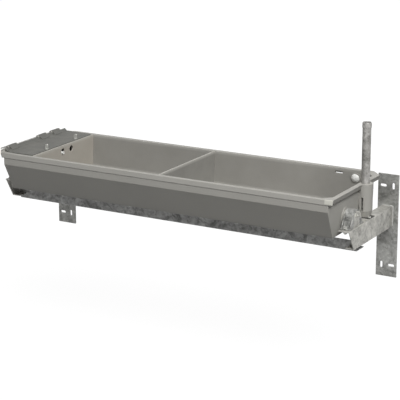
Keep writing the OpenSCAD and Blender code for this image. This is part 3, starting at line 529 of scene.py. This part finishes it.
# Depths of the solid's outer and inner levels, with how far its walls stand in and its corner arcs there
OUTER_DEPTH = (0.0, 0.060, 0.188, 0.198, 0.203)
OUTER_DEPTH_SEEN = (0.0, 0.060, 0.1985, 0.2015, 0.203)
OUTER_IN = (0.0165, 0.0165, 0.04514, 0.05225, 0.0635)
OUTER_ARC = (0.0415, 0.0415, 0.016, 0.012, 0.012)
INNER_DEPTH = (0.0, 0.152, 0.170, 0.176)
INNER_IN = (0.026, 0.04885, 0.05846, 0.07646)
INNER_ARC = (0.032, 0.024, 0.024, 0.024)
# How far the walls stand in as they are seen, at the same levels
SEEN = {
    "front": ((0.0018, 0.0018, 0.0660, 0.0690, 0.0720), (0.026, 0.0614, 0.0730, 0.0910)),
    "back": ((0.0165, 0.0165, 0.0262, 0.0275, 0.0305), (0.026, 0.0338, 0.0410, 0.0590)),
    "end": ((0.0200, 0.0200, 0.0240, 0.0250, 0.0280), (0.026, 0.0335, 0.0405, 0.0585)),
}
# Legs of the straight cuts that stand for the corner arcs, at the same levels
OUTER_CUT = {"front": (0.002,) * 5, "back": (0.070, 0.070, 0.040, 0.040, 0.038)}
INNER_CUT = {"front": (0.038, 0.030, 0.030, 0.030), "back": (0.0635, 0.042, 0.042, 0.042)}
LIP_CUT = {"front": 0.002, "back": 0.056}


def slide(place, marks, places_seen):
    """Each place moved with the marks on either side of it: straight between two marks, and not at all
    outside them."""
    moved = place.copy()
    for mark, following, seen, seen_next in zip(marks, marks[1:], places_seen, places_seen[1:]):
        share = (place - mark) / np.maximum(following - mark, 1e-9)
        moved = np.where((share >= 0.0) & (share <= 1.0), seen + share * (seen_next - seen), moved)
    return moved


def cut_corner(end_in, side_in, depth, where):
    """Corner arcs laid along a straight cut: a point at the share t of its arc stands leg t further in from
    the end and leg (1 - t) further in from the side than the two wall faces do."""
    families = [(0.0, LIP_ARC, LIP_CUT[where])]
    for marks, *levels in ((OUTER_DEPTH, OUTER_IN, OUTER_ARC, OUTER_CUT[where]),
                           (INNER_DEPTH, INNER_IN, INNER_ARC, INNER_CUT[where])):
        families.append([np.interp(depth, marks, values) for values in levels])
    new_end, new_side = end_in.copy(), side_in.copy()
    for wall, arc, leg in families:
        across, along = wall + arc - end_in, wall + arc - side_in
        on_arc = (across > -1e-5) & (along > -1e-5) & (np.abs(np.hypot(across, along) - arc) < 0.0012)
        share = np.arctan2(along, across) / (np.pi / 2)
        new_end = np.where(on_arc, wall + leg * share, new_end)
        new_side = np.where(on_arc, wall + leg * (1.0 - share), new_side)
    return new_end, new_side


def seen_walls(side, place, depth, deep_mark):
    """Distance from the rim's edge at one side, moved from the solid's wall faces to the seen ones."""
    outer_seen, inner_seen = SEEN[side]
    outer = np.interp(depth, OUTER_DEPTH, OUTER_IN)
    inner = np.interp(depth, INNER_DEPTH, INNER_IN)
    below = depth > FLOOR + 1e-5
    still = np.full_like(depth, 0.016 if side == "end" else 0.0)
    inner_mark = np.where(below, RECESS_IN, inner)
    inner_place = np.where(below, RECESS_IN, np.interp(depth, INNER_DEPTH, inner_seen))
    last = np.where(below, RECESS_IN + 0.001, np.maximum(inner + deep_mark, 0.056))
    return slide(place, (still, outer, inner_mark, last),
                 (still, np.interp(depth, OUTER_DEPTH, outer_seen), inner_place, last))


def seen_outline(points):
    """Points of the trough moved to the seen outline: sharp front corners, cut back corners, a front face
    that leans in more, steeper ends and back, a deeper lip and a crisp lower edge."""
    x, y, z = points.T
    depth = RIM_TOP - z
    side = np.where(x < 0, -1.0, 1.0)
    end_in, front_in, back_in = HALF_LENGTH - np.abs(x), y - FRONT_EDGE, BACK_EDGE - y
    in_front = front_in < back_in
    side_in = np.where(in_front, front_in, back_in)
    front = cut_corner(end_in, side_in, depth, "front")
    back = cut_corner(end_in, side_in, depth, "back")
    end_in = np.where(in_front, front[0], back[0])
    side_in = np.where(in_front, front[1], back[1])
    nearest = np.minimum(end_in, side_in)
    end_seen = seen_walls("end", end_in, depth, DEEP_END)
    side_seen = np.where(in_front, seen_walls("front", side_in, depth, DEEP_SIDE),
                         seen_walls("back", side_in, depth, DEEP_SIDE))
    skin = nearest < 0.0636
    depth_seen = np.where(skin, np.interp(depth, OUTER_DEPTH, OUTER_DEPTH_SEEN), depth)
    lip_foot = (nearest < 0.0170) & (np.abs(depth - LIP) < 1e-4)
    depth_seen = np.where(lip_foot, LIP_SEEN, depth_seen)
    end_seen = np.where(lip_foot, np.maximum(end_seen, LIP_LEAN_END), end_seen)
    side_seen = np.where(lip_foot & ~in_front, np.maximum(side_seen, LIP_LEAN_BACK), side_seen)
    side_seen = np.where(in_front & (depth < 1e-4), np.maximum(side_seen, LIP_TOP_IN), side_seen)
    depth_seen = np.where((depth < 0.0) | (depth > 0.2031), depth, depth_seen)
    y_seen = np.where(in_front, FRONT_EDGE + side_seen, BACK_EDGE - side_seen)
    return np.stack([side * (HALF_LENGTH - end_seen), y_seen, RIM_TOP - depth_seen], 1)


def seen_lid(points):
    """Points of the lid lowered into the chamber's opening: the plate from rim height to 3 mm above it,
    drawn in to the opening's two ends, with the hinge left as it is."""
    x, y, z = points.T
    plate = np.clip((x - (HINGE_X + 0.005)) / 0.012, 0.0, 1.0)
    x_plate = np.interp(x, (-0.936, LID_RIGHT), (-0.9225, LID_RIGHT_SEEN))
    z_plate = np.interp(z, (RIM_TOP, RIM_TOP + 0.018, RIM_TOP + 0.027),
                        (RIM_TOP - LID_SUNK, RIM_TOP + 0.003, RIM_TOP + 0.0065))
    return np.stack([x + plate * (x_plate - x), y, z + plate * (z_plate - z)], 1)


def seen_screw(points):
    """Points of a winged screw whose head comes down with the lid, while its tongue stays at its keeper."""
    x, y, z = points.T
    return np.stack([x, y, np.interp(z, (0.0, RIM_TOP - 0.006, RIM_TOP + 0.018, RIM_TOP + 0.1),
                                     (0.0, RIM_TOP - 0.006, RIM_TOP + 0.003, RIM_TOP + 0.085))], 1)


def seen_form(node, form, smooth_angle=16.0):
    """A copy of a node's surface, in its place, with its corners merged and its points moved by a form."""
    source = nodes[node]
    place = np.array(source.matrix_world)
    mesh = source.data
    points = np.empty(len(mesh.vertices) * 3)
    mesh.vertices.foreach_get("co", points)
    points = points.reshape(-1, 3) @ place[:3, :3].T + place[:3, 3]
    corners = np.empty(len(mesh.loops), int)
    mesh.loops.foreach_get("vertex_index", corners)
    _, first, where = np.unique(np.round(points, 6), axis=0, return_index=True, return_inverse=True)
    faces = where.reshape(-1)[corners].reshape(-1, 3)
    whole = (faces[:, 0] != faces[:, 1]) & (faces[:, 1] != faces[:, 2]) & (faces[:, 2] != faces[:, 0])
    made = bpy.data.meshes.new(node + "_seen")
    made.from_pydata(form(points[first]).tolist(), [], faces[whole].tolist())
    made.update()
    made.polygons.foreach_set("use_smooth", np.ones(len(made.polygons), bool))
    made.set_sharp_from_angle(angle=np.radians(smooth_angle))
    made.materials.append(mesh.materials[0])
    piece = bpy.data.objects.new(node + "_seen", made)
    bpy.context.scene.collection.objects.link(piece)
    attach(piece, source["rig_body"])
    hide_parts(node)
    return piece


HINGE_X = -0.948
LID_RIGHT = -0.757
LID_RIGHT_SEEN = -0.7665
LID_SUNK = 0.007

for node in ("trough_shell", "valve_partition", "centre_divider", "side_plug"):
    seen_form(node, seen_outline)
seen_form("valve_cover", seen_lid)
for node in ("thumb_screw_front", "thumb_screw_back"):
    seen_form(node, seen_screw)


# New pieces

def make_piece(name, points, material, body, sheet=False):
    """A closed surface from a grid of points, rows along the piece and columns round it. Each end row is
    closed by its own middle point, or straight across between its two faces where it is the section of a
    bent sheet."""
    rows, around = points.shape[:2]
    verts = points.reshape(-1, 3)
    row, column = np.meshgrid(np.arange(rows - 1), np.arange(around), indexing="ij")
    following = (column + 1) % around
    quads = np.stack([row * around + column, row * around + following,
                      (row + 1) * around + following, (row + 1) * around + column], -1).reshape(-1, 4)
    middles = np.stack([points[0].mean(0), points[-1].mean(0)])
    ring = np.arange(around)
    after = (ring + 1) % around
    last_row = (rows - 1) * around
    first = np.stack([after, ring, np.full(around, len(verts))], 1)
    last = np.stack([ring + last_row, after + last_row, np.full(around, len(verts) + 1)], 1)
    if sheet:
        half = np.arange(around // 2 - 1)
        across = np.stack([half, half + 1, around - 2 - half, around - 1 - half], 1)
        first, last, middles = across[:, ::-1], across + last_row, middles[:0]
    mesh = bpy.data.meshes.new(name)
    faces = quads.tolist() + first.tolist() + last.tolist()
    mesh.from_pydata(np.concatenate([verts, middles]).tolist(), [], faces)
    mesh.update()
    mesh.polygons.foreach_set("use_smooth", np.ones(len(mesh.polygons), bool))
    mesh.set_sharp_from_angle(angle=np.radians(40.0))
    mesh.materials.append(material)
    piece = bpy.data.objects.new(name, mesh)
    bpy.context.scene.collection.objects.link(piece)
    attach(piece, body)
    return piece


def bent_sheet(centre, thickness):
    """Section of a sheet of one thickness: its middle line moved half the thickness to either side."""
    direction = np.gradient(centre, axis=0)
    normal = np.stack([direction[:, 1], -direction[:, 0]], 1)
    normal /= np.linalg.norm(normal, axis=1)[:, None]
    return np.concatenate([centre + normal * thickness / 2, (centre - normal * thickness / 2)[::-1]])


def carried(section, along, axis="x"):
    """Grid of points of a section carried straight along X or Y, one row for each place along it. The
    section's second value is its height."""
    shape = (len(along), len(section))
    places = np.broadcast_to(along[:, None], shape)
    across = np.broadcast_to(section[:, 0], shape)
    height = np.broadcast_to(section[:, 1], shape)
    return np.stack([places, across, height] if axis == "x" else [across, places, height], -1)


def bead(name, start, end, radius, mirrored=False):
    """Weld bead from start to end: a round section whose radius swells with each ripple and closes to a
    point at both ends, r = R (0.86 + 0.14 |sin(pi s / ripple)|) sqrt(1 - (2t - 1)^8)."""
    side = np.array([-1.0 if mirrored else 1.0, 1.0, 1.0])
    start, end = np.array(start, float) * side, np.array(end, float) * side
    length = np.linalg.norm(end - start)
    ahead = (end - start) / length
    first = np.cross(ahead, [0.3, 0.5, 0.81])
    first /= np.linalg.norm(first)
    second = np.cross(ahead, first)
    t = np.linspace(0.0, 1.0, max(24, int(length / 0.0008)))
    swell = 0.86 + 0.14 * np.abs(np.sin(np.pi * t * length / WELD_RIPPLE))
    wander = 0.12 * radius * np.sin(t * length * 190.0)
    r = radius * swell * np.sqrt(np.clip(1.0 - (2.0 * t - 1.0) ** 8, 1e-4, 1.0))
    angle = np.linspace(0.0, 2.0 * np.pi, 12, endpoint=False)
    ring = np.cos(angle)[:, None] * first + np.sin(angle)[:, None] * second
    centre = start + t[:, None] * (end - start) + wander[:, None] * first
    points = centre[:, None, :] + r[:, None, None] * ring
    return make_piece(name, points, FINISHES["weld_zinc"], "frame")


def label_plate(left=0.911, right=0.9535, height=0.0205, thickness=0.0012, fold=0.006):
    """Bare plate at the rim's front right corner: a strip profile, laid on the lip's leaning front and
    folded over its top, carried straight along the rim."""
    top, bottom = RIM_TOP, RIM_TOP - height
    bend = 0.0016
    turn = np.linspace(0.0, np.pi / 2, 6)
    arc = np.stack([-bend + bend * np.cos(turn), top - bend + bend * np.sin(turn)], 1)
    inner = np.concatenate([[[0.0, bottom]], arc, [[-fold, top]]])
    direction = np.gradient(inner, axis=0)
    normal = np.stack([direction[:, 1], -direction[:, 0]], 1)
    normal /= np.linalg.norm(normal, axis=1)[:, None]
    profile = np.concatenate([inner + normal * thickness, (inner + normal * 0.00005)[::-1]])
    profile[:, 0] -= LIP_TOP_IN * (profile[:, 1] - top + LIP_SEEN) / LIP_SEEN
    section = np.stack([FRONT_EDGE - profile[:, 0], profile[:, 1]], 1)
    points = carried(section, np.linspace(left, right, 24))
    return make_piece("rim_label", points, FINISHES["label_white"], "trough", sheet=True)


def angle_rail(sheet=0.004, bend=0.006):
    """The rail between the arms as an angle: an upright front and a foot that points back, joined by a
    quarter arc and carried straight along X between the end pads."""
    low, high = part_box("cross_rail")
    front, foot, top = low.y + sheet / 2, low.z + sheet / 2, high.z
    turn = np.linspace(0.0, np.pi / 2, 7)
    arc = np.stack([front + bend - bend * np.cos(turn), foot + bend - bend * np.sin(turn)], 1)
    upright = np.stack([np.full(4, front), np.linspace(top, foot + bend + 0.002, 4)], 1)
    base = np.stack([np.linspace(front + bend + 0.002, high.y, 4), np.full(4, foot)], 1)
    section = bent_sheet(np.concatenate([upright, arc, base]), sheet)
    points = carried(section, np.linspace(low.x + RAIL_PAD, high.x - RAIL_PAD, 60))
    rail = make_piece("cross_rail_seen", points, FINISHES["rail_steel"], "frame", sheet=True)
    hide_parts("cross_rail")
    middle = np.stack([np.linspace(low.y, high.y, 3), np.full(3, top - RAIL_PAD_HEIGHT / 2)], 1)
    pad = bent_sheet(middle, RAIL_PAD_HEIGHT)
    for end, name in ((low.x, "rail_pad_left"), (high.x - RAIL_PAD, "rail_pad_right")):
        points = carried(pad, np.array([end, end + RAIL_PAD]))
        make_piece(name, points, FINISHES["rail_steel"], "frame", sheet=True)


def hinge_leaf(sheet=0.003):
    """Leaf from the lid's left edge up to the rod: a short slanted sheet carried along Y."""
    low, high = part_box("valve_cover")
    section = bent_sheet(np.array(LEAF_LINE) + (0.0, RIM_TOP), sheet)
    points = carried(section, np.linspace(low.y + 0.001, high.y - 0.001, 40), "y")
    return make_piece("hinge_leaf", points[::-1], FINISHES["cover_plastic"], "cover",
                      sheet=True)


WELD_RIPPLE = 0.0034
RAIL_PAD = 0.008
RAIL_PAD_HEIGHT = 0.029
# Middle line of the leaf: places along X and heights over the rim
LEAF_LINE = ((-0.9415, 0.0165), (-0.9355, 0.0095), (-0.9285, 0.0035), (-0.9215, 0.0012))
# Outer face of an arm's web, its sheet, its top and foot, the front of the wall plates and the rail's corner
WEB = 0.997
SHEET = 0.005
ARM_TOP = RIM_TOP - 0.169
ARM_FOOT = ARM_TOP - 0.103
PLATE_FACE = -0.008
rail_low, rail_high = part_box("cross_rail")
RAIL_FRONT, RAIL_TOP = rail_low.y, rail_high.z
INNER_FACE = WEB - SHEET
# Each bead at the right-hand arm: its name, start, end and radius
BEADS = (
    ("weld_web_outer", (WEB, PLATE_FACE, ARM_TOP + 0.001), (WEB, PLATE_FACE, ARM_FOOT - 0.001), 0.0034),
    ("weld_web_inner", (INNER_FACE, PLATE_FACE, ARM_TOP - SHEET), (INNER_FACE, PLATE_FACE, ARM_FOOT + SHEET),
     0.003),
    ("weld_flange", (WEB - 0.056, PLATE_FACE, ARM_TOP), (WEB - 0.002, PLATE_FACE, ARM_TOP), 0.0032),
    ("weld_rail_top", (INNER_FACE, RAIL_FRONT + 0.004, RAIL_TOP), (INNER_FACE, RAIL_FRONT + 0.084, RAIL_TOP),
     0.003),
    ("weld_rail_front", (INNER_FACE, RAIL_FRONT, RAIL_TOP - 0.001),
     (INNER_FACE, RAIL_FRONT, ARM_FOOT + SHEET), 0.003),
)
for side, mirrored in (("right", False), ("left", True)):
    for name, start, end, radius in BEADS:
        bead(f"{name}_{side}", start, end, radius, mirrored)
label_plate()
angle_rail()
hinge_leaf()


# Stage and light

def white_where_seen(tree, shown, other, output):
    """Camera, mirror and see-through rays meet the first shader, all others the second."""
    path = put(tree, "ShaderNodeLightPath").outputs
    seen = maths(tree, "MAXIMUM", path["Is Camera Ray"], path["Is Glossy Ray"])
    seen = maths(tree, "MAXIMUM", seen, path["Is Transmission Ray"])
    mix = put(tree, "ShaderNodeMixShader", i0=seen, i1=other, i2=shown)
    tree.links.new(mix.outputs[0], output)


def make_stage():
    """Pale floor far below, whose own glow for the camera lifts it to white outside the soft shadow. Seen
    from below it is clear."""
    size = 60.0
    along = np.linspace(-size, size, 9)
    x, y = np.meshgrid(along, along, indexing="ij")
    verts = np.stack([x, y, np.full_like(x, FLOOR_HEIGHT)], -1).reshape(-1, 3)
    i, j = np.meshgrid(np.arange(8), np.arange(8), indexing="ij")
    faces = np.stack([i * 9 + j, (i + 1) * 9 + j, (i + 1) * 9 + j + 1, i * 9 + j + 1], -1).reshape(-1, 4)
    mesh = bpy.data.meshes.new("floor")
    mesh.from_pydata(verts.tolist(), [], faces.tolist())
    floor = bpy.data.objects.new("floor", mesh)
    bpy.context.scene.collection.objects.link(floor)
    material = bpy.data.materials.new("pale_floor")
    material.use_nodes = True
    tree = material.node_tree
    tree.nodes.clear()
    out = put(tree, "ShaderNodeOutputMaterial")
    matt = put(tree, "ShaderNodeBsdfDiffuse", Color=grey(FLOOR_TONE, FLOOR_TONE, FLOOR_TONE)).outputs[0]
    surface = put(tree, "ShaderNodeNewGeometry").outputs
    away = put(tree, "ShaderNodeVectorMath", {"operation": "LENGTH"},
               i0=surface["Position"]).outputs["Value"]
    lift = spread(tree, away, *LIFT_REACH, FLOOR_LIFT, 1.0)
    glow = put(tree, "ShaderNodeEmission", Color=grey(1.0, 1.0, 1.0), Strength=lift).outputs[0]
    lifted = put(tree, "ShaderNodeAddShader", i0=matt, i1=glow).outputs[0]
    clear = put(tree, "ShaderNodeBsdfTransparent").outputs[0]
    from_above = put(tree, "ShaderNodeMixShader", i0=surface["Backfacing"], i1=lifted, i2=clear).outputs[0]
    white_where_seen(tree, from_above, matt, out.inputs["Surface"])
    mesh.materials.append(material)


def make_world():
    """Even light from all round, plain white where it is seen."""
    world = bpy.data.worlds.new("studio")
    bpy.context.scene.world = world
    world.use_nodes = True
    tree = world.node_tree
    tree.nodes.clear()
    out = put(tree, "ShaderNodeOutputWorld")
    seen = put(tree, "ShaderNodeBackground", Color=grey(1.0, 1.0, 1.0), Strength=1.0).outputs[0]
    even = put(tree, "ShaderNodeBackground", Color=grey(1.0, 1.0, 1.0), Strength=AMBIENT).outputs[0]
    white_where_seen(tree, seen, even, out.inputs["Surface"])


def soft_lamp(name, azimuth, elevation, distance, size, watts):
    """Square white lamp that looks at the trough. Azimuth 0 is in front of it and 90 at its right end."""
    data = bpy.data.lights.new(name, "AREA")
    data.shape = "SQUARE"
    data.size = size
    data.energy = watts
    lamp = bpy.data.objects.new(name, data)
    a, e = np.radians(azimuth), np.radians(elevation)
    aim = Vector(LAMP_AIM)
    away = Vector((np.sin(a) * np.cos(e), -np.cos(a) * np.cos(e), np.sin(e)))
    lamp.location = aim + away * distance
    lamp.rotation_euler = away.to_track_quat("Z", "Y").to_euler()
    bpy.context.scene.collection.objects.link(lamp)


FLOOR_HEIGHT = -1.0
FLOOR_TONE = 0.10
FLOOR_LIFT = 0.95
LIFT_REACH = (1.5, 4.0)
AMBIENT = 0.045
LAMP_AIM = (0.2, -0.32, 0.0)

place_camera()
make_world()
make_stage()
soft_lamp("key_right", azimuth=44.0, elevation=46.0, distance=10.0, size=6.0, watts=1360.0)
soft_lamp("front_left", azimuth=-35.0, elevation=30.0, distance=9.0, size=4.0, watts=75.0)
soft_lamp("behind", azimuth=175.0, elevation=25.0, distance=9.0, size=4.0, watts=130.0)
bpy.context.scene.view_settings.view_transform = "Standard"
